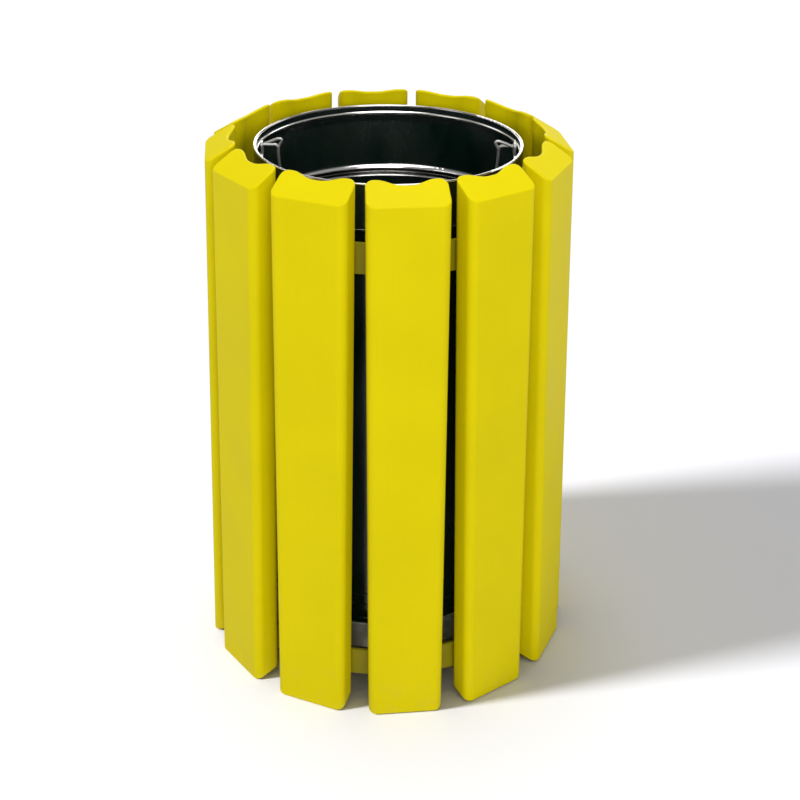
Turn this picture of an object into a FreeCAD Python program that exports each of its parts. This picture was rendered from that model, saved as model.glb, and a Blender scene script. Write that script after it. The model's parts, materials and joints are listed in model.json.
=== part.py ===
"""Round slatted litter bin with a lift-out steel liner.

Twelve slats, leaning out slightly towards the ground, are screwed to two flat-bar hoops. A cross
in the lower hoop carries the liner, which is a sheet steel bucket with a rolled rim and a wire
bail that hangs inside it.
Millimetres, +Z up. The origin is on the ground at the bin's centre and slat_01 faces -Y.
"""
import FreeCAD, Part
import math
import os
from FreeCAD import Vector

UP = Vector(0, 0, 1)
AXIS = Vector(0, 0, 0)

# ---- slats: radii are from the bin's axis, widths run across the slat ----
SLAT_COUNT = 12
SLAT_TOP_R = 238.0          # to the outer face, at the top
SPLAY = 26.0                # the foot of a slat stands this much further out than its top
SLAT_THICKNESS = 39.0
SLAT_HEIGHT = 754.0
SLAT_OUTER_WIDTH = 102.0
SLAT_INNER_WIDTH = 98.0
SLAT_OUTER_CORNER = 11.0
SLAT_INNER_CORNER = 10.0
TOP_DROP = 25.0             # the top end falls by this from the inner to the outer face
BOTTOM_RISE = 14.0          # the bottom end rises by this from the outer to the inner face
END_ROUNDING = 2.5
SCALLOP_WIDTH = 62.0        # shallow channel down the middle of the inner face
SCALLOP_FLOOR = 20.0
SCALLOP_DEPTH = 8.0
SCALLOP_FLOOR_ROUNDING = 40.0
BUMP_ROUNDING = 30.0        # edge between the channel and the flat beside it

# ---- hoops, of flat bar, which bear on the two bumps beside each scallop ----
HOOP_HEIGHT = 40.0
HOOP_THICKNESS = 5.0
HOOP_SEAT_GAP = 0.1
UPPER_HOOP_BELOW_TOP = 103.0
LOWER_HOOP_Z = 57.0

# ---- slat screws, from inside the hoop ----
SCREW_R = 3.0
SCREW_HOLE_R = 3.5
PILOT_GAP = 0.05
SCREW_BITE = 24.0           # length inside the slat
PILOT_SPARE = 3.0
SCREW_FLANGE_R = 8.5
SCREW_FLANGE_T = 1.6
SCREW_HEAD_R = 6.0
SCREW_HEAD_H = 3.6
SEAT_GAP = 0.05             # between a flat head and what it bears on

# ---- cross that carries the liner ----
BAR_WIDTH = 40.0
BAR_THICKNESS = 5.0
BAR_ABOVE_HOOP_FOOT = 4.0
WELD_GAP = 0.1

# ---- foot brackets with their bolts and nuts ----
BRACKET_COUNT = 4
BRACKET_FIRST_DEG = 45.0    # between two slats
BRACKET_WIDTH = 40.0
BRACKET_THICKNESS = 5.0
BRACKET_FOOT_LENGTH = 46.0
BRACKET_BEND = 5.0
ANCHOR_HOLE_R = 6.0
ANCHOR_CIRCLE_R = 195.0
FOOT_BOLT_R = 4.0
FOOT_BOLT_HOLE_R = 4.5
FOOT_BOLT_HEAD_R = 6.5
FOOT_BOLT_HEAD_H = 3.5
FOOT_BOLT_SPARE = 2.0       # thread that shows past the nut
NUT_ACROSS_FLATS = 13.0
NUT_HEIGHT = 6.5
THREAD_GAP = 0.05

# ---- liner ----
LINER_TURN_DEG = -6.0       # the bail's axis is turned by this from +X
LINER_OUTER_R = 176.5
LINER_WALL = 2.0
RIM_BELOW_TOP = 19.5        # from the slat tops to the middle of the rolled rim
RIM_ROLL_R = 1.7
RIM_ROLL_INSET = 1.0        # roll centre inside the wall's outer face
RIM_SKIRT_T = 1.5
RIM_SKIRT_HEIGHT = 21.0
RIM_BEAD_R = 2.6
RIM_BEAD_BELOW = 9.0        # from the roll's centre to the bead's centre
SHEET_GAP = 0.1             # between nested sheets
RIB_R = 2.0
UPPER_RIB_BELOW_RIM = 58.0
LOWER_RIBS_ABOVE_SEAT = (51.0, 73.0, 91.0)
INNER_RING_BELOW_RIM = 91.0
INNER_RING_HEIGHT = 12.0
INNER_RING_DEPTH = 5.0
INNER_RING_LIP_T = 1.0
INNER_RING_LIP_HEIGHT = 6.5
INNER_RING_LIP_BEAD_R = 1.4
FOOT_RING_HEIGHT = 42.0
FOOT_RING_T = 2.0
FOOT_RING_LIP_T = 2.5
FOOT_RING_LIP_WIDTH = 18.0
FLOOR_T = 2.0
FLOOR_FLANGE_HEIGHT = 9.0
DRAIN_HOLE_R = 5.0
DRAIN_HOLE_COUNT = 4
DRAIN_CIRCLE_R = 100.0

# ---- bail ears with their rivets ----
EAR_WIDTH = 30.0
EAR_T = 2.5
EAR_PAD_HEIGHT = 18.0
EAR_JOGGLE_RISE = 7.0
EAR_TOP_R = 8.0
EAR_STAND_OFF = 7.0         # from the pad's back to the lug's back
EAR_BELOW_SKIRT = 1.0
PIVOT_BELOW_ROLL = 4.5      # from the roll's centre to the bail's axis
RIVET_R = 2.0
RIVET_HEAD_R = 3.6
RIVET_HEAD_H = 1.8
RIVET_SPACING = 17.0
RIVET_GAP = 0.05

# ---- bail, of round wire ----
WIRE_R = 2.0
WIRE_GAP = 0.08
BAIL_INSET = 22.0           # from the back of an ear's lug in to the middle of the wire's shoulder
BAIL_BEND = 4.5
BAIL_DROP = 10.0            # from the pivot to the centre of the big arc
BAIL_BUTTON_R = 3.6
BAIL_BUTTON_T = 1.2
BAIL_END_FLOAT = 0.4

# ---- sizes that follow ----
LEAN = math.atan2(SPLAY, SLAT_HEIGHT)
BOTTOM_SLOPE = math.atan2(BOTTOM_RISE, SLAT_THICKNESS)
# the sharp bottom edge is placed so that the rounded one touches the ground once the slat leans
ROUNDING_CENTRE_Z = SLAT_HEIGHT - (SLAT_HEIGHT - END_ROUNDING * (1 + math.sin(LEAN))) / math.cos(LEAN)
BOTTOM_EDGE_Z = ROUNDING_CENTRE_Z - END_ROUNDING * (math.tan(BOTTOM_SLOPE) + 1 / math.cos(BOTTOM_SLOPE))
SCALLOP_TURN = math.atan2(SCALLOP_DEPTH, (SCALLOP_WIDTH - SCALLOP_FLOOR) / 2)
BUMP_CENTRE_X = SCALLOP_WIDTH / 2 + BUMP_ROUNDING * math.tan(SCALLOP_TURN / 2)
UPPER_HOOP_Z = SLAT_HEIGHT - UPPER_HOOP_BELOW_TOP
HOOP_LEVELS = {"upper": UPPER_HOOP_Z, "lower": LOWER_HOOP_Z}


def slat_back_r(z):
    """Radius of the slats' inner faces at a height."""
    out = (SLAT_HEIGHT - z) * math.tan(LEAN)
    return SLAT_TOP_R + out - SLAT_THICKNESS / math.cos(LEAN)


def hoop_outer_r(z):
    """Radius at which a hoop bears on the bumps of the slats."""
    return math.hypot(BUMP_CENTRE_X, slat_back_r(z) + BUMP_ROUNDING) - BUMP_ROUNDING - HOOP_SEAT_GAP


def hoop_inner_r(z):
    return hoop_outer_r(z) - HOOP_THICKNESS


LINER_SEAT_Z = LOWER_HOOP_Z - HOOP_HEIGHT / 2 + BAR_ABOVE_HOOP_FOOT + BAR_THICKNESS
LINER_INNER_R = LINER_OUTER_R - LINER_WALL
LINER_FOOT_Z = LINER_SEAT_Z + FOOT_RING_LIP_T
RIM_Z = SLAT_HEIGHT - RIM_BELOW_TOP
RIM_ROLL_CENTRE_R = LINER_OUTER_R - RIM_ROLL_INSET
RIM_SKIRT_OUTER_R = LINER_INNER_R - SHEET_GAP
RIM_SKIRT_FOOT_Z = RIM_Z - RIM_SKIRT_HEIGHT
WALL_TOP_Z = RIM_Z - RIM_ROLL_R - SHEET_GAP
INNER_RING_Z = RIM_Z - INNER_RING_BELOW_RIM

PIVOT_Z = RIM_Z - PIVOT_BELOW_ROLL
EAR_BACK_X = math.sqrt(LINER_INNER_R ** 2 - (EAR_WIDTH / 2) ** 2) - SHEET_GAP
LUG_BACK_X = EAR_BACK_X - EAR_STAND_OFF
BAIL_HALF_SPAN = LUG_BACK_X - BAIL_INSET
EAR_PAD_TOP_Z = RIM_SKIRT_FOOT_Z - EAR_BELOW_SKIRT
EAR_PAD_FOOT_Z = EAR_PAD_TOP_Z - EAR_PAD_HEIGHT
RIVET_Z = EAR_PAD_TOP_Z - EAR_PAD_HEIGHT * 0.55

LOWER_HOOP_TOP_Z = LOWER_HOOP_Z + HOOP_HEIGHT / 2
BRACKET_BACK_R = math.sqrt(hoop_inner_r(LOWER_HOOP_TOP_Z) ** 2 - (BRACKET_WIDTH / 2) ** 2) - WELD_GAP


# ---- helpers ----
def corner(before, here, after, radius):
    """Start, middle and end of the arc that rounds one corner of an outline."""
    to_before = (before - here).normalize()
    to_after = (after - here).normalize()
    half = to_before.getAngle(to_after) / 2
    reach = radius / math.tan(half)
    inward = (to_before + to_after).normalize()
    centre = here + inward * (radius / math.sin(half))
    return here + to_before * reach, centre - inward * radius, here + to_after * reach


def outline(points):
    """Closed wire through (x, y, z, rounding) corners; a rounding of 0 keeps the corner sharp."""
    places = [Vector(*point[:3]) for point in points]
    count = len(points)
    arcs = []
    for i, point in enumerate(points):
        if point[3] > 0:
            arcs.append(corner(places[i - 1], places[i], places[(i + 1) % count], point[3]))
        else:
            arcs.append((places[i], None, places[i]))
    edges = []
    for i, (start, middle, end) in enumerate(arcs):
        if middle is not None:
            edges.append(Part.Arc(start, middle, end).toShape())
        following = arcs[(i + 1) % count][0]
        if end.distanceToPoint(following) > 1e-6:
            edges.append(Part.makeLine(end, following))
    return Part.Wire(edges)


def extruded(points, along):
    return Part.Face(outline(points)).extrude(along)


def turned(points):
    """Solid of revolution about the bin's axis from (radius, z, rounding) corners."""
    section = [(radius, 0, z, rounding) for radius, z, rounding in points]
    return Part.Face(outline(section)).revolve(AXIS, UP, 360)


def bead(radius, z, size):
    """Ring of round section about the bin's axis."""
    return Part.makeTorus(radius, size, Vector(0, 0, z), UP)


def fused(*solids):
    return solids[0].multiFuse(list(solids[1:])).removeSplitter()


def spun(shape, degrees):
    """Copy of a shape turned about the bin's axis."""
    copy = shape.copy()
    copy.rotate(AXIS, UP, degrees)
    return copy


def pattern(shape, count, first=0.0):
    """Separate copies of a solid, evenly spaced about the bin's axis."""
    return [spun(shape, first + i * 360.0 / count) for i in range(count)]


def mirrored(shape):
    return shape.mirror(AXIS, Vector(1, 0, 0))


def save(name, *solids):
    shape = solids[0] if len(solids) == 1 else Part.makeCompound(list(solids))
    shape.exportStep("parts/" + name + ".step")


# ---- slats ----
def slat_section():
    outer, inner = SLAT_OUTER_WIDTH / 2, SLAT_INNER_WIDTH / 2
    mouth, floor = SCALLOP_WIDTH / 2, SCALLOP_FLOOR / 2
    face_y, back_y = -SLAT_TOP_R, SLAT_THICKNESS - SLAT_TOP_R
    floor_y = back_y - SCALLOP_DEPTH
    right = [
        (outer, face_y, 0, SLAT_OUTER_CORNER),
        (inner, back_y, 0, SLAT_INNER_CORNER),
        (mouth, back_y, 0, BUMP_ROUNDING),
        (floor, floor_y, 0, SCALLOP_FLOOR_ROUNDING),
    ]
    left = [(-x, y, z, rounding) for x, y, z, rounding in reversed(right)]
    return right + left


def end_cutter(outer_z, inner_z, height):
    """Block that takes off everything past a sloped end; height is its signed size along Z."""
    slope = (inner_z - outer_z) / SLAT_THICKNESS
    margin = SLAT_THICKNESS
    near_y, far_y = -SLAT_TOP_R - margin, -SLAT_TOP_R + SLAT_THICKNESS + margin
    near_z, far_z = outer_z - slope * margin, inner_z + slope * margin
    half = SLAT_OUTER_WIDTH
    points = [(-half, near_y, near_z, 0), (-half, far_y, far_z, 0),
              (-half, far_y, far_z + height, 0), (-half, near_y, near_z + height, 0)]
    return extruded(points, Vector(2 * half, 0, 0))


def on_end(edge, outer_z, inner_z):
    """True for an edge that lies all along a sloped end."""
    slope = (inner_z - outer_z) / SLAT_THICKNESS
    places = [vertex.Point for vertex in edge.Vertexes]
    return all(abs(p.z - outer_z - slope * (p.y + SLAT_TOP_R)) < 1e-4 for p in places)


def slat():
    bar = extruded(slat_section(), UP * (SLAT_HEIGHT - BOTTOM_EDGE_Z))
    bar.translate(UP * BOTTOM_EDGE_Z)
    top = (SLAT_HEIGHT - TOP_DROP, SLAT_HEIGHT)
    bottom = (BOTTOM_EDGE_Z, BOTTOM_EDGE_Z + BOTTOM_RISE)
    bar = bar.cut(end_cutter(*top, SLAT_HEIGHT)).cut(end_cutter(*bottom, -SLAT_HEIGHT))
    rims = [edge for edge in bar.Edges if on_end(edge, *top) or on_end(edge, *bottom)]
    bar = bar.makeFillet(END_ROUNDING, rims)
    bar.rotate(Vector(0, -SLAT_TOP_R, SLAT_HEIGHT), Vector(1, 0, 0), -math.degrees(LEAN))
    for z in HOOP_LEVELS.values():
        mouth = Vector(0, -slat_back_r(z), z)
        depth = SCALLOP_DEPTH + SCREW_BITE + PILOT_SPARE
        bar = bar.cut(Part.makeCylinder(SCREW_R + PILOT_GAP, depth, mouth, Vector(0, -1, 0)))
    return bar


def make_slats():
    for i, solid in enumerate(pattern(slat(), SLAT_COUNT)):
        save("slat_%02d" % (i + 1), solid)


# ---- hoops ----
def hoop(z):
    """Flat bar rolled into a ring, with a hole for each slat screw."""
    low, high = z - HOOP_HEIGHT / 2, z + HOOP_HEIGHT / 2
    edge = HOOP_THICKNESS * 0.2
    ring = turned([(hoop_inner_r(low), low, edge), (hoop_outer_r(low), low, edge),
                   (hoop_outer_r(high), high, edge), (hoop_inner_r(high), high, edge)])
    hole = Part.makeCylinder(SCREW_HOLE_R, hoop_outer_r(low), Vector(0, 0, z), Vector(0, -1, 0))
    return ring.cut(pattern(hole, SLAT_COUNT))


def bracket_bolt_hole(radius):
    """Cylinder out along +X from the axis, at the height of the bracket bolts."""
    reach = hoop_outer_r(LOWER_HOOP_Z) + HOOP_THICKNESS
    return Part.makeCylinder(radius, reach, Vector(0, 0, LOWER_HOOP_Z), Vector(1, 0, 0))


def make_hoops():
    save("upper_hoop", hoop(UPPER_HOOP_Z))
    holes = pattern(bracket_bolt_hole(FOOT_BOLT_HOLE_R), BRACKET_COUNT, BRACKET_FIRST_DEG)
    save("lower_hoop", hoop(LOWER_HOOP_Z).cut(holes))


def dome(radius, height, seat, along):
    """Low round head on a seat, with its top edge rounded."""
    head = Part.makeCylinder(radius, height, seat, along)
    tops = [edge for edge in head.Edges
            if abs((edge.BoundBox.Center - seat).dot(along) - height) < 1e-6]
    return head.makeFillet(height * 0.7, tops)


def slat_screw(z):
    """Flanged round-head screw that runs out from inside the hoop into a slat."""
    outward = Vector(0, -1, 0)
    seat_r = math.sqrt(hoop_inner_r(z + SCREW_FLANGE_R) ** 2 - SCREW_FLANGE_R ** 2) - SEAT_GAP
    tip_r = slat_back_r(z) + SCALLOP_DEPTH + SCREW_BITE
    head_r = seat_r - SCREW_FLANGE_T
    shank = Part.makeCylinder(SCREW_R, tip_r - head_r, Vector(0, -head_r, z), outward)
    flange = Part.makeCylinder(SCREW_FLANGE_R, SCREW_FLANGE_T, Vector(0, -head_r, z), outward)
    head = dome(SCREW_HEAD_R, SCREW_HEAD_H, Vector(0, -head_r, z), outward * -1)
    return fused(shank, flange, head)


def make_screws():
    for name, z in HOOP_LEVELS.items():
        save(name + "_hoop_screws", *pattern(slat_screw(z), SLAT_COUNT))


# ---- cross under the liner ----
def make_cross():
    low = LINER_SEAT_Z - BAR_THICKNESS
    half = BAR_WIDTH / 2
    inside_r = hoop_inner_r(LINER_SEAT_Z) - WELD_GAP
    inside = Part.makeCylinder(inside_r, BAR_THICKNESS, Vector(0, 0, low))
    long_bar = Part.makeBox(BAR_WIDTH, 2 * inside_r, BAR_THICKNESS, Vector(-half, -inside_r, low))
    arm_start = half + WELD_GAP
    arm = Part.makeBox(inside_r - arm_start, BAR_WIDTH, BAR_THICKNESS, Vector(arm_start, -half, low))
    arm = arm.common(inside)
    save("base_bar", long_bar.common(inside))
    save("base_arm_right", arm)
    save("base_arm_left", mirrored(arm))


# ---- foot brackets ----
def foot_bracket():
    """Angle of flat bar: a leg up the inside of the hoop and a foot along the ground, facing +X."""
    back = BRACKET_BACK_R
    top = LOWER_HOOP_TOP_Z
    inner = back - BRACKET_THICKNESS
    toe = back - BRACKET_FOOT_LENGTH
    width = BRACKET_WIDTH / 2
    section = [
        (toe, -width, 0, 0),
        (back, -width, 0, BRACKET_BEND + BRACKET_THICKNESS),
        (back, -width, top, 0),
        (inner, -width, top, 0),
        (inner, -width, BRACKET_THICKNESS, BRACKET_BEND),
        (toe, -width, BRACKET_THICKNESS, 0),
    ]
    bracket = extruded(section, Vector(0, BRACKET_WIDTH, 0))
    anchor = Part.makeCylinder(ANCHOR_HOLE_R, BRACKET_THICKNESS * 3,
                               Vector(ANCHOR_CIRCLE_R, 0, -BRACKET_THICKNESS))
    return bracket.cut([anchor, bracket_bolt_hole(FOOT_BOLT_HOLE_R)])


def foot_bolt():
    outward = Vector(1, 0, 0)
    seat = Vector(hoop_outer_r(LOWER_HOOP_Z - FOOT_BOLT_HEAD_R) + SEAT_GAP, 0, LOWER_HOOP_Z)
    end = BRACKET_BACK_R - BRACKET_THICKNESS - NUT_HEIGHT - FOOT_BOLT_SPARE
    shank = Part.makeCylinder(FOOT_BOLT_R, seat.x - end, Vector(end, 0, LOWER_HOOP_Z), outward)
    return fused(shank, dome(FOOT_BOLT_HEAD_R, FOOT_BOLT_HEAD_H, seat, outward))


def foot_nut():
    seat = BRACKET_BACK_R - BRACKET_THICKNESS - SEAT_GAP
    around = NUT_ACROSS_FLATS / math.sqrt(3)
    places = []
    for i in range(6):
        angle = math.radians(60 * i)
        places.append((seat, around * math.cos(angle), LOWER_HOOP_Z + around * math.sin(angle), 0))
    nut = extruded(places, Vector(-NUT_HEIGHT, 0, 0))
    return nut.cut(bracket_bolt_hole(FOOT_BOLT_R + THREAD_GAP))


def make_feet():
    brackets = pattern(foot_bracket(), BRACKET_COUNT, BRACKET_FIRST_DEG)
    for i, bracket in enumerate(brackets):
        save("foot_bracket_%d" % (i + 1), bracket)
    save("foot_bolts", *pattern(foot_bolt(), BRACKET_COUNT, BRACKET_FIRST_DEG))
    save("foot_nuts", *pattern(foot_nut(), BRACKET_COUNT, BRACKET_FIRST_DEG))


# ---- liner: each piece is made with the bail's axis along X, and save_liner turns it ----
def save_liner(name, *solids):
    save(name, *[spun(solid, LINER_TURN_DEG) for solid in solids])


def rivet_places():
    return [(y, RIVET_Z) for y in (-RIVET_SPACING / 2, RIVET_SPACING / 2)]


def rivet_hole(y, z):
    """Cylinder right through both sides of the liner, along X."""
    start = Vector(-LINER_OUTER_R - RIB_R, y, z)
    return Part.makeCylinder(RIVET_R + RIVET_GAP, -2 * start.x, start, Vector(1, 0, 0))


def liner_wall():
    tube = turned([(LINER_INNER_R, LINER_FOOT_Z, 0), (LINER_OUTER_R, LINER_FOOT_Z, 0),
                   (LINER_OUTER_R, WALL_TOP_Z, 0), (LINER_INNER_R, WALL_TOP_Z, 0)])
    levels = [LINER_SEAT_Z + height for height in LOWER_RIBS_ABOVE_SEAT]
    levels.append(RIM_Z - UPPER_RIB_BELOW_RIM)
    ribs = [bead(LINER_OUTER_R, z, RIB_R) for z in levels]
    bore = Part.makeCylinder(LINER_INNER_R, SLAT_HEIGHT)
    tube = fused(tube, *ribs).cut(bore)
    return tube.cut([rivet_hole(y, z) for y, z in rivet_places()])


def liner_rim():
    """Rolled rim with a skirt inside the wall and a bead round the skirt."""
    skirt_inner = RIM_SKIRT_OUTER_R - RIM_SKIRT_T
    skirt = turned([(skirt_inner, RIM_SKIRT_FOOT_Z, 0.6), (RIM_SKIRT_OUTER_R, RIM_SKIRT_FOOT_Z, 0),
                    (RIM_SKIRT_OUTER_R, RIM_Z, 0), (skirt_inner, RIM_Z, 0)])
    roll = bead(RIM_ROLL_CENTRE_R, RIM_Z, RIM_ROLL_R)
    stiffener = bead(skirt_inner, RIM_Z - RIM_BEAD_BELOW, RIM_BEAD_R)
    outside = turned([(RIM_SKIRT_OUTER_R, RIM_SKIRT_FOOT_Z, 0), (LINER_OUTER_R * 2, RIM_SKIRT_FOOT_Z, 0),
                      (LINER_OUTER_R * 2, WALL_TOP_Z, 0), (RIM_SKIRT_OUTER_R, WALL_TOP_Z, 0)])
    return fused(skirt, roll, stiffener).cut(outside)


def liner_inner_ring():
    """Half-round band inside the wall, with a thin lip and a small bead below it."""
    back = LINER_INNER_R - SHEET_GAP
    low, high = INNER_RING_Z - INNER_RING_HEIGHT / 2, INNER_RING_Z + INNER_RING_HEIGHT / 2
    middle = Vector(back - INNER_RING_DEPTH, 0, INNER_RING_Z)
    ends = Vector(back, 0, low), Vector(back, 0, high)
    face = Part.Face(Part.Wire([Part.Arc(ends[0], middle, ends[1]).toShape(),
                                Part.makeLine(ends[1], ends[0])]))
    band = face.revolve(AXIS, UP, 360)
    lip_foot = low - INNER_RING_LIP_HEIGHT
    lip = turned([(back - INNER_RING_LIP_T, lip_foot, 0), (back, lip_foot, 0),
                  (back, INNER_RING_Z, 0), (back - INNER_RING_LIP_T, INNER_RING_Z, 0)])
    edge_z = lip_foot + INNER_RING_LIP_BEAD_R
    edge = bead(back - INNER_RING_LIP_BEAD_R, edge_z, INNER_RING_LIP_BEAD_R)
    return fused(band, lip, edge)


def liner_floor():
    """Pressed disc on a flange that stands on the foot ring's lip."""
    outer = LINER_INNER_R - SHEET_GAP
    inner = outer - FLOOR_T
    top = LINER_FOOT_Z + FLOOR_FLANGE_HEIGHT
    floor = turned([(0, top - FLOOR_T, 0), (inner, top - FLOOR_T, 0), (inner, LINER_FOOT_Z, 0),
                    (outer, LINER_FOOT_Z, 0), (outer, top, FLOOR_T * 1.5), (0, top, 0)])
    hole = Part.makeCylinder(DRAIN_HOLE_R, SLAT_HEIGHT, Vector(DRAIN_CIRCLE_R, 0, 0))
    return floor.cut(pattern(hole, DRAIN_HOLE_COUNT, BRACKET_FIRST_DEG))


def liner_foot_ring():
    """Band round the foot of the wall, with a lip that turns in under it."""
    inner = LINER_OUTER_R + SHEET_GAP
    outer = inner + FOOT_RING_T
    lip = LINER_INNER_R - FOOT_RING_LIP_WIDTH
    top = LINER_SEAT_Z + FOOT_RING_HEIGHT
    return turned([(lip, LINER_SEAT_Z, 0), (outer, LINER_SEAT_Z, FOOT_RING_T), (outer, top, 0.8),
                   (inner, top, 0.8), (inner, LINER_FOOT_Z, 0), (lip, LINER_FOOT_Z, 0)])


def bail_ear():
    """Right-hand ear: a pad on the wall and a lug that stands in front of the rim's bead."""
    back, lug_back = EAR_BACK_X, LUG_BACK_X
    joggle_top = EAR_PAD_TOP_Z + EAR_JOGGLE_RISE
    top = PIVOT_Z + EAR_TOP_R
    half = EAR_WIDTH / 2
    section = [
        (back, -half, EAR_PAD_FOOT_Z, 0), (back, -half, EAR_PAD_TOP_Z - EAR_T, EAR_T * 2),
        (lug_back, -half, joggle_top, EAR_T), (lug_back, -half, top, 0),
        (lug_back - EAR_T, -half, top, 0), (lug_back - EAR_T, -half, joggle_top - EAR_T, EAR_T * 2),
        (back - EAR_T, -half, EAR_PAD_TOP_Z - 2 * EAR_T, EAR_T),
        (back - EAR_T, -half, EAR_PAD_FOOT_Z, 0),
    ]
    strip = extruded(section, Vector(0, EAR_WIDTH, 0))
    start = lug_back - 2 * EAR_T
    face = [
        (start, -half, EAR_PAD_FOOT_Z, EAR_T), (start, half, EAR_PAD_FOOT_Z, EAR_T),
        (start, half, EAR_PAD_TOP_Z, EAR_T), (start, EAR_TOP_R, joggle_top, EAR_T),
        (start, EAR_TOP_R, top, EAR_TOP_R * 0.98), (start, -EAR_TOP_R, top, EAR_TOP_R * 0.98),
        (start, -EAR_TOP_R, joggle_top, EAR_T), (start, -half, EAR_PAD_TOP_Z, EAR_T),
    ]
    ear = strip.common(extruded(face, Vector(EAR_STAND_OFF * 3, 0, 0)))
    pivot = Part.makeCylinder(WIRE_R + WIRE_GAP, LINER_OUTER_R, Vector(0, 0, PIVOT_Z), Vector(1, 0, 0))
    return ear.cut([pivot] + [rivet_hole(y, z) for y, z in rivet_places()])


def ear_rivet(y, z):
    """Rivet through the right-hand ear's pad and the wall."""
    outward = Vector(1, 0, 0)
    inside = Vector(EAR_BACK_X - EAR_T - SEAT_GAP, y, z)
    outside = Vector(LINER_OUTER_R + SEAT_GAP, y, z)
    shank = Part.makeCylinder(RIVET_R, outside.x - inside.x, inside, outward)
    heads = [dome(RIVET_HEAD_R, RIVET_HEAD_H, inside, outward * -1),
             dome(RIVET_HEAD_R, RIVET_HEAD_H, outside, outward)]
    return fused(shank, *heads)


def bail():
    """Round wire hanging in the XZ plane, with an upset button behind each ear."""
    end_x = LUG_BACK_X + BAIL_END_FLOAT
    span = BAIL_HALF_SPAN
    arc_z = PIVOT_Z - BAIL_DROP
    shoulder = corner(Vector(end_x, 0, PIVOT_Z), Vector(span, 0, PIVOT_Z), Vector(span, 0, arc_z),
                      BAIL_BEND)
    right = [Part.makeLine(Vector(end_x, 0, PIVOT_Z), shoulder[0]),
             Part.Arc(*shoulder).toShape(),
             Part.makeLine(shoulder[2], Vector(span, 0, arc_z))]
    big_arc = Part.Arc(Vector(span, 0, arc_z), Vector(0, 0, arc_z - span),
                       Vector(-span, 0, arc_z)).toShape()
    left = [mirrored(edge) for edge in right]
    path = Part.Wire(Part.sortEdges(right + [big_arc] + left)[0])
    ring = Part.Wire(Part.makeCircle(WIRE_R, Vector(end_x, 0, PIVOT_Z), Vector(1, 0, 0)))
    wire = path.makePipeShell([ring], True, False)
    button = dome(BAIL_BUTTON_R, BAIL_BUTTON_T, Vector(end_x, 0, PIVOT_Z), Vector(1, 0, 0))
    return fused(wire, button, mirrored(button))


def make_liner():
    save_liner("liner_wall", liner_wall())
    save_liner("liner_rim", liner_rim())
    save_liner("liner_inner_ring", liner_inner_ring())
    save_liner("liner_floor", liner_floor())
    save_liner("liner_foot_ring", liner_foot_ring())
    ear = bail_ear()
    save_liner("bail_ear_right", ear)
    save_liner("bail_ear_left", mirrored(ear))
    rivets = [ear_rivet(y, z) for y, z in rivet_places()]
    save_liner("ear_rivets", *rivets, *[mirrored(rivet) for rivet in rivets])
    save_liner("bail", bail())


os.makedirs("parts", exist_ok=True)
make_slats()
make_hoops()
make_screws()
make_cross()
make_feet()
make_liner()
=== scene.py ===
"""Looks of the slatted litter bin: finishes, fittings, floor, lights and camera.

Everything is in metres in the bin's own frame: +Z up, origin on the ground, slat_01 facing -Y.
"""
import json
import math

import bpy
from mathutils import Matrix, Vector


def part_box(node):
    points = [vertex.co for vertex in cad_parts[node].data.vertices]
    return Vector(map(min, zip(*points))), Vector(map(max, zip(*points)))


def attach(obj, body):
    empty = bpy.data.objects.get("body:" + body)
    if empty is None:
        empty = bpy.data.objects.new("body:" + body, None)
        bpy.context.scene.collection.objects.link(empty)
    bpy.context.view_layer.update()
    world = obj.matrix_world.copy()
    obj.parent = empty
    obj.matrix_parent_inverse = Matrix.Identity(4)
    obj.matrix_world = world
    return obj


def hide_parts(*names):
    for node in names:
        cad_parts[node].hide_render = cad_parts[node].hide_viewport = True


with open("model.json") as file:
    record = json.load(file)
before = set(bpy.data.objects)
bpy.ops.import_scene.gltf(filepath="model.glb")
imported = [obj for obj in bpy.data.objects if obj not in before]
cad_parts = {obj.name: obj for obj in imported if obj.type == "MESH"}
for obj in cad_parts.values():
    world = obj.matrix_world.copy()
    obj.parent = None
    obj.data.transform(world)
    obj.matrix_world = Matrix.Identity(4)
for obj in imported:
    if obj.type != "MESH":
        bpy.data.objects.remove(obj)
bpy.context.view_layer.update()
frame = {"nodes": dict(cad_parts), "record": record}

# ---- camera ----
CAMERA_PLACE = (-0.1840, -1.7394, 1.2669)
CAMERA_TURN = math.radians(-6.64)
CAMERA_PITCH = math.radians(27.58)
CAMERA_ROLL = math.radians(0.56)
CAMERA_LENS = 61.7
SENSOR_WIDTH = 36.0

# ---- colours ----
SLAT_YELLOW = (0.615, 0.515, 0.0004)
SLAT_YELLOW_PALE = (0.645, 0.54, 0.0004)
SLAT_YELLOW_LINED = (0.55, 0.46, 0.0004)
GROUND_DUST = (0.40, 0.34, 0.12)
# the hoop's two yellows are the slats' yellow darkened by painted shade, as seen in the gaps
# between the slats
PAINTED_SHADE_HOOP_YELLOW = (0.22, 0.188, 0.003)
PAINTED_SHADE_HOOP_YELLOW_PALE = (0.27, 0.23, 0.004)
ENAMEL = (0.0012, 0.0078, 0.0052)
ENAMEL_SMEARED = (0.010, 0.018, 0.014)
RIM_ENAMEL = (0.004, 0.008, 0.007)
POLISHED_STEEL = (0.82, 0.81, 0.79, 1.0)
RIM_BEAD_STEEL = (0.80, 0.78, 0.75)
RIM_ROLL_STEEL = (0.46, 0.44, 0.41)
WIRE_DARK = (0.30, 0.30, 0.29)
WIRE_PALE = (0.46, 0.45, 0.43)
SPANGLE_DARK = (0.36, 0.37, 0.34)
SPANGLE_PALE = (0.56, 0.56, 0.52)
ZINC_DARK = (0.56, 0.56, 0.55)
ZINC_PALE = (0.70, 0.70, 0.68)
FLOOR_WHITE = (0.9, 0.9, 0.955, 1.0)    # a little blue, against the yellow light off the slats

# ---- slats ----
DUST_HEIGHT = 0.09              # dust fades out this far above the ground

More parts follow.
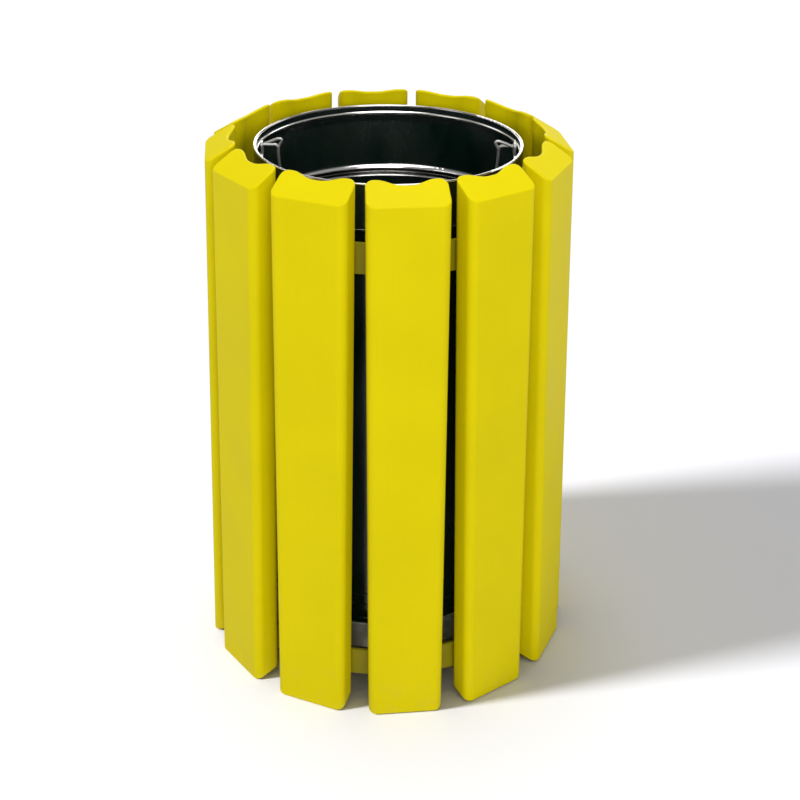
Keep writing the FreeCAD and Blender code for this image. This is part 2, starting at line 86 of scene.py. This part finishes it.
# ---- rim, down from its top ----
RIM_ROLL_DEPTH = 0.0026
RIM_BEAD_DEPTH = 0.0107
RIM_BEAD_HALF = 0.0021

# ---- hoop screws ----
SCREW_COUNT = 12
FLANGE_R = 0.0085
FLANGE_T = 0.0016
FLANGE_SIDES = 32
FLANGE_EDGE = FLANGE_T * 0.3
HEX_R = 0.0061
HEX_H = 0.0036
HEX_EDGE = HEX_H * 0.12
SHANK_R = 0.0029
SHANK_LENGTH = 0.030
SOCKET_WALL = HEX_R * 0.38
SOCKET_DEPTH = 0.0020

# ---- weld beads on the cross ----
BEAD_R = 0.0017
BEAD_SIDES = 12
BEAD_RIPPLES = 24
BEAD_LENGTH = 0.036
BEAD_TIP = 0.55                 # how far each end of a bead narrows
BEAD_SWELL = 1.55               # growth from the first tip to the full bead
BEAD_RIPPLE = 1.14              # growth from a trough to a crest
CROSS_TOP_SINK = 0.0004         # the bead's middle lies this far below the bars' top face

# ---- wire eye at each end of the bail ----
EYE_WIRE_R = 0.0019
EYE_START = 0.006               # from the end of the bail's wire in to the start of the eye
EYE_REACH = 0.0235              # from the start of the eye in to its tip
EYE_RISE = 0.0078
EYE_ROUTE = ((0.0, 0.0), (0.45, 0.62), (0.86, 1.0),     # shares of the reach and the rise
             (1.0, 0.72), (0.92, 0.2), (0.78, -0.55))

# ---- seam of the liner ----
SEAM_WAY = math.radians(118.0)
SEAM_WIDTH = 0.011
SEAM_STAND = 0.0008
SEAM_FOLD_INSET = SEAM_WIDTH * 0.3
SEAM_FOLD_RISE = SEAM_STAND * 0.8
SEAM_EDGE = SEAM_STAND * 0.4
SEAM_BELOW_RIM = 0.004
SEAM_ABOVE_FOOT = 0.006
FOOT_RING_STEP = 0.0021         # the foot ring stands this far out past the wall

# ---- shading ----
CRISP_ANGLE = 35.0              # edges sharper than this stay sharp
BEAD_ANGLE = 50.0
WIRE_ANGLE = 60.0
SAME_POINT = 1e-6

# ---- floor ----
FLOOR_SIZE = 40.0
FLOOR_DROP = 0.0005

# ---- key light on the floor ----
FLOOR_KEY_WAY = math.radians(6.5)       # where its light goes, from +X towards +Y
FLOOR_KEY_HEIGHT = math.radians(40.0)
FLOOR_KEY_SPREAD = math.radians(8.0)
FLOOR_KEY_STRENGTH = 3.1

# ---- light from behind and above, for the shade at the foot in front ----
FLOOR_BACK_WAY = math.radians(-80.0)
FLOOR_BACK_HEIGHT = math.radians(78.0)
FLOOR_BACK_SPREAD = math.radians(24.0)
FLOOR_BACK_STRENGTH = 0.62

# ---- lights that reach only the bin: name, place, width and height, power ----
BIN_MIDDLE = (0, 0, 0.4)
BIN_LIGHTS = (
    ("front_fill", (0.1, -4.0, 1.9), (3.0, 2.0), 80.0),
    ("left_fill", (-3.2, -1.6, 1.6), (1.5, 1.5), 14.0),
    ("top_soft", (0.0, -0.4, 3.2), (1.5, 1.5), 52.0),
    ("rear_fill", (0.6, 4.0, 2.2), (3.0, 2.0), 70.0),
    ("right_rear_fill", (3.4, 1.6, 1.8), (2.0, 2.0), 30.0),
    ("left_rear_fill", (-3.4, 1.8, 1.8), (2.0, 2.0), 20.0),
)

# ---- white surround: its strength as light, and as it is seen ----
STUDIO_LIGHT = 0.32
STUDIO_SEEN = 1.0


# ---- material helpers ----
class Finish:
    """A material with short calls for the nodes that its colour, gloss and relief come from."""

    def __init__(self, name, **shader):
        self.material = bpy.data.materials.new(name)
        self.material.use_nodes = True
        self.nodes = self.material.node_tree.nodes
        self.links = self.material.node_tree.links
        self.shader = self.nodes["Principled BSDF"]
        for socket, value in shader.items():
            self.shader.inputs[socket.replace("_", " ")].default_value = value
        self.place = self.nodes.new("ShaderNodeTexCoord").outputs["Object"]

    def stretched(self, scale):
        """Object coordinates scaled along each axis."""
        mapping = self.nodes.new("ShaderNodeMapping")
        mapping.inputs["Scale"].default_value = scale
        self.links.new(self.place, mapping.inputs["Vector"])
        return mapping.outputs["Vector"]

    def noise(self, scale, detail=3.0, roughness=0.5, stretch=(1, 1, 1)):
        texture = self.nodes.new("ShaderNodeTexNoise")
        texture.inputs["Scale"].default_value = scale
        texture.inputs["Detail"].default_value = detail
        texture.inputs["Roughness"].default_value = roughness
        self.links.new(self.stretched(stretch), texture.inputs["Vector"])
        return texture.outputs["Fac"]

    def cells(self, scale):
        texture = self.nodes.new("ShaderNodeTexVoronoi")
        texture.inputs["Scale"].default_value = scale
        self.links.new(self.stretched((1, 1, 1)), texture.inputs["Vector"])
        return texture.outputs["Color"]

    def height(self):
        """Height above the ground in metres."""
        split = self.nodes.new("ShaderNodeSeparateXYZ")
        self.links.new(self.place, split.inputs[0])
        return split.outputs["Z"]

    def remap(self, value, low, high, to_low, to_high):
        """Value between low and high turned into one between to_low and to_high."""
        node = self.nodes.new("ShaderNodeMapRange")
        for socket, number in zip(("From Min", "From Max", "To Min", "To Max"),
                                  (low, high, to_low, to_high)):
            node.inputs[socket].default_value = number
        self.links.new(value, node.inputs["Value"])
        return node.outputs["Result"]

    def combine(self, operation, first, second):
        """Sum of one kind on two values, each a number or another node's output."""
        node = self.nodes.new("ShaderNodeMath")
        node.operation = operation
        for socket, value in zip(node.inputs, (first, second)):
            if isinstance(value, float):
                socket.default_value = value
            else:
                self.links.new(value, socket)
        return node.outputs[0]

    def band(self, middle, half):
        """1 within a belt of heights and 0 outside it."""
        away = self.combine("ABSOLUTE", self.combine("SUBTRACT", self.height(), middle), 0.0)
        return self.combine("LESS_THAN", away, half)

    def blend(self, factor, first, second):
        """Mix of two colours, each an (r, g, b) or another node's output."""
        node = self.nodes.new("ShaderNodeMix")
        node.data_type = "RGBA"
        self.links.new(factor, node.inputs["Factor"])
        for socket, colour in ((node.inputs[6], first), (node.inputs[7], second)):
            if isinstance(colour, tuple):
                socket.default_value = (*colour, 1.0)
            else:
                self.links.new(colour, socket)
        return node.outputs[2]

    def bump(self, value, distance, strength, under=None):
        node = self.nodes.new("ShaderNodeBump")
        node.inputs["Distance"].default_value = distance
        node.inputs["Strength"].default_value = strength
        self.links.new(value, node.inputs["Height"])
        if under is not None:
            self.links.new(under, node.inputs["Normal"])
        return node.outputs["Normal"]

    def set(self, socket, value):
        self.links.new(value, self.shader.inputs[socket])


# ---- finishes ----
def slat_plastic():
    """Satin recycled plastic plank: faint lengthwise lines, fine grain, dust at the foot."""
    finish = Finish("slat_plastic", Specular_IOR_Level=0.05)
    cloud = finish.noise(9.0, 4.0)
    lines = finish.noise(260.0, 3.0, 0.6, (1, 1, 0.02))
    base = finish.blend(finish.remap(cloud, 0.35, 0.65, 0, 1), SLAT_YELLOW, SLAT_YELLOW_PALE)
    lined = finish.blend(finish.remap(lines, 0.45, 0.75, 0, 0.09), base, SLAT_YELLOW_LINED)
    dust_patch = finish.noise(38.0, 6.0, 0.65)
    low_down = finish.remap(finish.height(), 0.0, DUST_HEIGHT, 1.0, 0.0)
    dust = finish.combine("MULTIPLY", low_down, finish.remap(dust_patch, 0.48, 0.75, 0.0, 0.2))
    finish.set("Base Color", finish.blend(dust, lined, GROUND_DUST))
    finish.set("Roughness", finish.remap(cloud, 0.3, 0.7, 0.44, 0.55))
    grain = finish.noise(1400.0, 2.0)
    soft = finish.bump(lines, 0.0003, 0.08)
    finish.set("Normal", finish.bump(grain, 0.0001, 0.25, soft))
    return finish.material


def hoop_paint():
    """Yellow powder coat with a fine orange peel; its yellow is darkened by painted shade, as
    if always in the shade between the slats.
    """
    finish = Finish("hoop_paint", Roughness=0.4, Specular_IOR_Level=0.15)
    patch = finish.noise(30.0, 3.0)
    # the base colour carries painted shade; the patch noise only varies its tone
    finish.set("Base Color", finish.blend(patch, PAINTED_SHADE_HOOP_YELLOW, PAINTED_SHADE_HOOP_YELLOW_PALE))
    finish.set("Normal", finish.bump(finish.noise(900.0, 1.0), 0.0002, 0.4))
    return finish.material


def liner_enamel():
    """Dark green-black stoved enamel, glossy, with smears and a few fine scratches."""
    finish = Finish("liner_enamel", Specular_IOR_Level=0.6)
    smear = finish.noise(11.0, 5.0, 0.6, (1, 1, 0.35))
    finish.set("Base Color", finish.blend(finish.remap(smear, 0.35, 0.7, 0, 1),
                                          ENAMEL, ENAMEL_SMEARED))
    finish.set("Roughness", finish.remap(smear, 0.3, 0.75, 0.14, 0.34))
    scratch = finish.noise(160.0, 2.0, 0.5, (1, 1, 0.04))
    finish.set("Normal", finish.bump(scratch, 0.0003, 0.12))
    return finish.material


def bright_steel():
    """Polished stainless steel with faint drawing marks."""
    finish = Finish("bright_steel", Base_Color=POLISHED_STEEL, Metallic=1.0)
    marks = finish.noise(420.0, 3.0, 0.6, (0.06, 0.06, 1))
    finish.set("Roughness", finish.remap(marks, 0.3, 0.7, 0.09, 0.2))
    finish.set("Normal", finish.bump(marks, 0.0001, 0.15))
    return finish.material


def rim_steel():
    """Polished roll and bead; the rest of the rim keeps the liner's dark enamel."""
    finish = Finish("rim_steel")
    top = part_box("liner_rim")[1][2]
    roll = finish.band(top - RIM_ROLL_DEPTH / 2, RIM_ROLL_DEPTH / 2)
    bead = finish.band(top - RIM_BEAD_DEPTH, RIM_BEAD_HALF)
    bright = finish.combine("MAXIMUM", roll, bead)
    marks = finish.noise(420.0, 3.0, 0.6, (0.06, 0.06, 1))
    steel = finish.blend(roll, RIM_BEAD_STEEL, RIM_ROLL_STEEL)
    finish.set("Base Color", finish.blend(bright, RIM_ENAMEL, steel))
    finish.set("Metallic", bright)
    finish.set("Roughness", finish.remap(marks, 0.3, 0.7, 0.12, 0.24))
    return finish.material


def dull_wire():
    """Grey steel wire, drawn and a little tarnished."""
    finish = Finish("dull_wire", Metallic=0.9)
    patch = finish.noise(70.0, 4.0)
    finish.set("Base Color", finish.blend(patch, WIRE_DARK, WIRE_PALE))
    finish.set("Roughness", finish.remap(patch, 0.3, 0.7, 0.34, 0.5))
    return finish.material


def galvanised():
    """Dull zinc with a mottled spangle."""
    finish = Finish("galvanised", Metallic=0.85)
    spangle = finish.cells(90.0)
    finish.set("Base Color", finish.blend(spangle, SPANGLE_DARK, SPANGLE_PALE))
    finish.set("Roughness", finish.remap(finish.noise(55.0, 4.0), 0.3, 0.7, 0.35, 0.6))
    return finish.material


def fastener_zinc():
    """Bright zinc plate on screws, bolts, nuts and rivets."""
    finish = Finish("fasteners", Metallic=1.0, Roughness=0.28)
    patch = finish.noise(300.0, 3.0)
    finish.set("Base Color", finish.blend(patch, ZINC_DARK, ZINC_PALE))
    return finish.material


FINISHES = {
    "slat_plastic": slat_plastic(),
    "hoop_paint": hoop_paint(),
    "liner_enamel": liner_enamel(),
    "bright_steel": bright_steel(),
    "galvanised": galvanised(),
    "fasteners": fastener_zinc(),
}
# pieces whose finish differs from the rest of their slot
OWN_FINISHES = {"liner_rim": rim_steel(), "bail": dull_wire()}
OWN_FINISHES["bail_ear_left"] = OWN_FINISHES["bail_ear_right"] = OWN_FINISHES["bail"]


def dress_cad_nodes():
    """Every carried-over node takes its own finish, or the one of its slot."""
    for part in frame["record"]["subparts"]:
        node = frame["nodes"][part["node"]]
        for place in node.material_slots:
            place.material = OWN_FINISHES.get(part["node"], FINISHES[part["material_slot"]])


# ---- shaping helpers ----
def faces_where(mesh, wanted):
    """Goes into edit mode with only the faces that pass the test selected."""
    bpy.ops.object.mode_set(mode="OBJECT")
    for part in (mesh.vertices, mesh.edges, mesh.polygons):
        part.foreach_set("select", [False] * len(part))
    for face in mesh.polygons:
        face.select = wanted(face)
    bpy.ops.object.mode_set(mode="EDIT")
    bpy.ops.mesh.select_mode(type="FACE")


def start(adder, name, **values):
    """A primitive alone in the selection, named, with its place applied."""
    bpy.ops.object.select_all(action="DESELECT")
    adder(**values)
    piece = bpy.context.object
    piece.name = piece.data.name = name
    bpy.ops.object.transform_apply(location=True, rotation=True, scale=True)
    return piece


def extruded(shift):
    """Draws the selected faces out by a shift."""
    bpy.ops.mesh.extrude_region_move(TRANSFORM_OT_translate={"value": shift})


def joined(pieces, name):
    bpy.ops.object.select_all(action="DESELECT")
    for piece in pieces:
        piece.select_set(True)
    bpy.context.view_layer.objects.active = pieces[0]
    bpy.ops.object.join()
    whole = bpy.context.object
    whole.name = whole.data.name = name
    return whole


def twin(piece, turn=0.0, shift=(0, 0, 0)):
    """Copy with its own mesh, moved and then turned about the bin's axis."""
    other = piece.copy()
    other.data = piece.data.copy()
    bpy.context.collection.objects.link(other)
    other.data.transform(Matrix.Rotation(turn, 4, "Z") @ Matrix.Translation(shift))
    return other


def bevel(piece, width):
    """Rounds the piece's sharp edges over two steps."""
    bpy.ops.object.mode_set(mode="OBJECT")
    softener = piece.modifiers.new("edges", "BEVEL")
    softener.width = width
    softener.segments = 2
    softener.limit_method = "ANGLE"
    softener.angle_limit = math.radians(30.0)
    bpy.ops.object.modifier_apply(modifier=softener.name)


def finished(piece, body, material, angle=CRISP_ANGLE):
    """Cleans and smooths the piece, gives it its finish and sets it on its body."""
    bpy.ops.object.select_all(action="DESELECT")
    piece.select_set(True)
    bpy.context.view_layer.objects.active = piece
    bpy.ops.object.mode_set(mode="EDIT")
    bpy.ops.mesh.select_all(action="SELECT")
    bpy.ops.mesh.remove_doubles(threshold=SAME_POINT)
    bpy.ops.mesh.dissolve_degenerate(threshold=SAME_POINT)
    bpy.ops.mesh.normals_make_consistent(inside=False)
    bpy.ops.object.mode_set(mode="OBJECT")
    bpy.ops.object.shade_smooth_by_angle(angle=math.radians(angle))
    piece.data.materials.clear()
    piece.data.materials.append(material)
    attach(piece, body)
    return piece


# ---- pieces shaped here ----
def hex_screw(name, seat_r, z):
    """Flanged hex screw with a socket in its head.

    The flange bears on the inside of the hoop at seat_r, and the shank runs out along -Y.
    """
    along_y = (math.pi / 2, 0, 0)
    flange = start(bpy.ops.mesh.primitive_cylinder_add, name, vertices=FLANGE_SIDES,
                   radius=FLANGE_R, depth=FLANGE_T,
                   location=(0, -seat_r + FLANGE_T / 2, z), rotation=along_y)
    faces_where(flange.data, lambda face: face.normal.y < -0.9)
    bpy.ops.mesh.inset(thickness=FLANGE_R - SHANK_R)
    extruded((0, -SHANK_LENGTH, 0))
    bevel(flange, FLANGE_EDGE)
    head = start(bpy.ops.mesh.primitive_cylinder_add, name + "_head", vertices=6,
                 radius=HEX_R, depth=HEX_H,
                 location=(0, -seat_r + FLANGE_T + HEX_H / 2, z), rotation=along_y)
    bevel(head, HEX_EDGE)
    faces_where(head.data, lambda face: face.normal.y > 0.99)
    bpy.ops.mesh.inset(thickness=SOCKET_WALL)
    extruded((0, -SOCKET_DEPTH, 0))
    bpy.ops.object.mode_set(mode="OBJECT")
    return joined([flange, head], name)


def hoop_screws(level):
    """A hoop's ring of screws, where the plain ones stand."""
    node = frame["nodes"][level + "_hoop_screws"]
    head_top_r = min(math.hypot(point.co.x, point.co.y) for point in node.data.vertices)
    low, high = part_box(node.name)
    name = level + "_hex_screws"
    screw = hex_screw(name, head_top_r + HEX_H + FLANGE_T, (low[2] + high[2]) / 2)
    others = [twin(screw, math.tau * i / SCREW_COUNT) for i in range(1, SCREW_COUNT)]
    ring = finished(joined([screw] + others, name), "stand", FINISHES["fasteners"])
    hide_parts(node.name)


def ripple_growth(i):
    """How much wider ring i of a weld bead is than the ring before it."""
    if i == 0:
        return BEAD_SWELL
    if i == BEAD_RIPPLES - 1:
        return BEAD_TIP
    return BEAD_RIPPLE if i % 2 else 1 / BEAD_RIPPLE


def ripple_bead(name, z):
    """Weld bead along Y across the bin's axis, grown ring by ring."""
    bead = start(bpy.ops.mesh.primitive_circle_add, name, vertices=BEAD_SIDES,
                 radius=BEAD_R * BEAD_TIP, fill_type="NGON",
                 location=(0, -BEAD_LENGTH / 2, z), rotation=(math.pi / 2, 0, 0))
    bpy.ops.object.mode_set(mode="EDIT")
    bpy.ops.mesh.select_all(action="SELECT")
    for i in range(BEAD_RIPPLES):
        extruded((0, BEAD_LENGTH / BEAD_RIPPLES, 0))
        grow = ripple_growth(i)
        bpy.ops.transform.resize(value=(grow, grow, grow))
    bpy.ops.object.mode_set(mode="OBJECT")
    return bead


def cross_welds():
    """Beads where the arms meet the long bar and where the cross meets the hoop."""
    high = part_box("base_bar")[1]
    hoop_r = high[1] - BEAD_R
    bead = ripple_bead("weld_bead", high[2] - CROSS_TOP_SINK)
    beads = []
    for side in (-1, 1):
        beads.append(twin(bead, shift=(side * high[0], 0, 0)))
        beads.append(twin(bead, -math.pi / 2, (-side * hoop_r, 0, 0)))
        beads.append(twin(bead, shift=(side * hoop_r, 0, 0)))
    bpy.data.objects.remove(bead)
    finished(joined(beads, "cross_welds"), "stand", FINISHES["galvanised"],
             BEAD_ANGLE)


def wire_through(name, points, radius):
    """Round wire along a smooth line through the points, made a mesh."""
    bpy.ops.object.select_all(action="DESELECT")
    bpy.ops.curve.primitive_nurbs_path_add(location=(0, 0, 0))
    wire = bpy.context.object
    wire.name = name
    line = wire.data.splines[0]
    line.points.add(len(points) - len(line.points))
    for point, place in zip(line.points, points):
        point.co = (*place, 1.0)
    line.order_u = 3
    line.use_endpoint_u = True
    line.resolution_u = 10
    wire.data.bevel_depth = radius
    wire.data.bevel_resolution = 3
    wire.data.use_fill_caps = True
    bpy.ops.object.convert(target="MESH")
    return bpy.context.object


def bail_eyes():
    """Each end of the wire is bent up and back on itself into a narrow eye beside the ear."""
    low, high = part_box("bail")
    joints = frame["record"]["behaviour"]["joints"]
    hinge = Vector(next(joint["pos_m"] for joint in joints if joint["name"] == "bail_swing"))
    along = Vector((high[0] - low[0], low[1] - high[1], 0)).normalized()
    eye_r = math.hypot(high[0], high[1]) - EYE_START
    points = [hinge + along * (EYE_REACH * reach - eye_r) + Vector((0, 0, EYE_RISE * rise))
              for reach, rise in EYE_ROUTE]
    left = wire_through("bail_eye_left", points, EYE_WIRE_R)
    right = twin(left, math.pi)
    right.name = right.data.name = "bail_eye_right"
    for eye in (left, right):
        finished(eye, "bail", OWN_FINISHES["bail"], WIRE_ANGLE)


def liner_seam():
    """Lapped and rolled seam down the outside of the liner, from the rim to the foot ring."""
    foot_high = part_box("liner_foot_ring")[1]
    wall_r = foot_high[0] - FOOT_RING_STEP
    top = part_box("liner_rim")[0][2] - SEAM_BELOW_RIM
    bottom = foot_high[2] + SEAM_ABOVE_FOOT
    seam = start(bpy.ops.mesh.primitive_cube_add, "liner_seam", size=1.0,
                 location=(wall_r, 0, (top + bottom) / 2),
                 scale=(SEAM_STAND * 2, SEAM_WIDTH, top - bottom))
    faces_where(seam.data, lambda face: face.normal.x > 0.9)
    bpy.ops.mesh.inset(thickness=SEAM_FOLD_INSET)
    extruded((SEAM_FOLD_RISE, 0, 0))
    bevel(seam, SEAM_EDGE)
    seam.data.transform(Matrix.Rotation(SEAM_WAY, 4, "Z"))
    finished(seam, "liner", FINISHES["liner_enamel"])


# ---- floor, lights, camera ----
def floor():
    bpy.ops.mesh.primitive_plane_add(size=FLOOR_SIZE, location=(0, 0, -FLOOR_DROP))
    plane = bpy.context.object
    plane.name = "studio_floor"
    finish = Finish("studio_floor", Base_Color=FLOOR_WHITE, Roughness=0.9,
                    Specular_IOR_Level=0.1)
    plane.data.materials.append(finish.material)
    return plane


def aimed(place, target):
    """Turn that points a lamp at place towards target."""
    return (Vector(target) - Vector(place)).to_track_quat("-Z", "Y").to_euler()


def only_on(lamp, objects):
    """Lets a lamp reach only some objects; the others still cast its shadows."""
    receivers = bpy.data.collections.new(lamp.name + "_receivers")
    for thing in objects:
        receivers.objects.link(thing)
    lamp.light_linking.receiver_collection = receivers


def bin_light(name, place, size, power, pieces):
    """Soft rectangular lamp that reaches only the bin's pieces."""
    bpy.ops.object.light_add(type="AREA", location=place)
    lamp = bpy.context.object
    lamp.name = name
    lamp.data.shape = "RECTANGLE"
    lamp.data.size, lamp.data.size_y = size
    lamp.data.energy = power
    lamp.rotation_euler = aimed(place, BIN_MIDDLE)
    only_on(lamp, pieces)


def floor_sun(name, plane, way, height, spread, strength):
    """Sun that reaches only the floor, so its shadow is strong and the slats stay even."""
    bpy.ops.object.light_add(type="SUN", location=(0, 0, 3))
    lamp = bpy.context.object
    lamp.name = name
    lamp.data.energy = strength
    lamp.data.angle = spread
    flat = math.cos(height)
    towards = (flat * math.cos(way), flat * math.sin(way), -math.sin(height))
    lamp.rotation_euler = aimed((0, 0, 0), towards)
    only_on(lamp, [plane])


def studio_white():
    """White all round: bright where it is seen, softer where it lights the bin."""
    world = bpy.data.worlds.new("studio")
    world.use_nodes = True
    nodes, links = world.node_tree.nodes, world.node_tree.links
    background = nodes["Background"]
    background.inputs["Color"].default_value = (1, 1, 1, 1)
    strength = nodes.new("ShaderNodeMapRange")
    strength.inputs["To Min"].default_value = STUDIO_LIGHT
    strength.inputs["To Max"].default_value = STUDIO_SEEN
    ray = nodes.new("ShaderNodeLightPath")
    links.new(ray.outputs["Is Camera Ray"], strength.inputs["Value"])
    links.new(strength.outputs["Result"], background.inputs["Strength"])
    bpy.context.scene.world = world


def lights(plane):
    floor_sun("floor_key", plane, FLOOR_KEY_WAY, FLOOR_KEY_HEIGHT, FLOOR_KEY_SPREAD,
              FLOOR_KEY_STRENGTH)
    floor_sun("floor_back", plane, FLOOR_BACK_WAY, FLOOR_BACK_HEIGHT, FLOOR_BACK_SPREAD,
              FLOOR_BACK_STRENGTH)
    pieces = [thing for thing in bpy.data.objects if thing.type == "MESH" and thing != plane]
    for name, place, size, power in BIN_LIGHTS:
        bin_light(name, place, size, power, pieces)
    studio_white()


def camera():
    bpy.ops.object.camera_add(location=CAMERA_PLACE)
    view = bpy.context.object
    tilt = Matrix.Rotation(math.pi / 2 - CAMERA_PITCH, 3, "X")
    roll = Matrix.Rotation(CAMERA_ROLL, 3, "Z")
    view.rotation_euler = (Matrix.Rotation(CAMERA_TURN, 3, "Z") @ tilt @ roll).to_euler()
    view.data.sensor_width = SENSOR_WIDTH
    view.data.lens = CAMERA_LENS
    bpy.context.scene.camera = view


bpy.ops.object.select_all(action="DESELECT")
dress_cad_nodes()
hoop_screws("upper")
hoop_screws("lower")
cross_welds()
bail_eyes()
liner_seam()
lights(floor())
camera()
bpy.context.scene.view_settings.view_transform = "Standard"
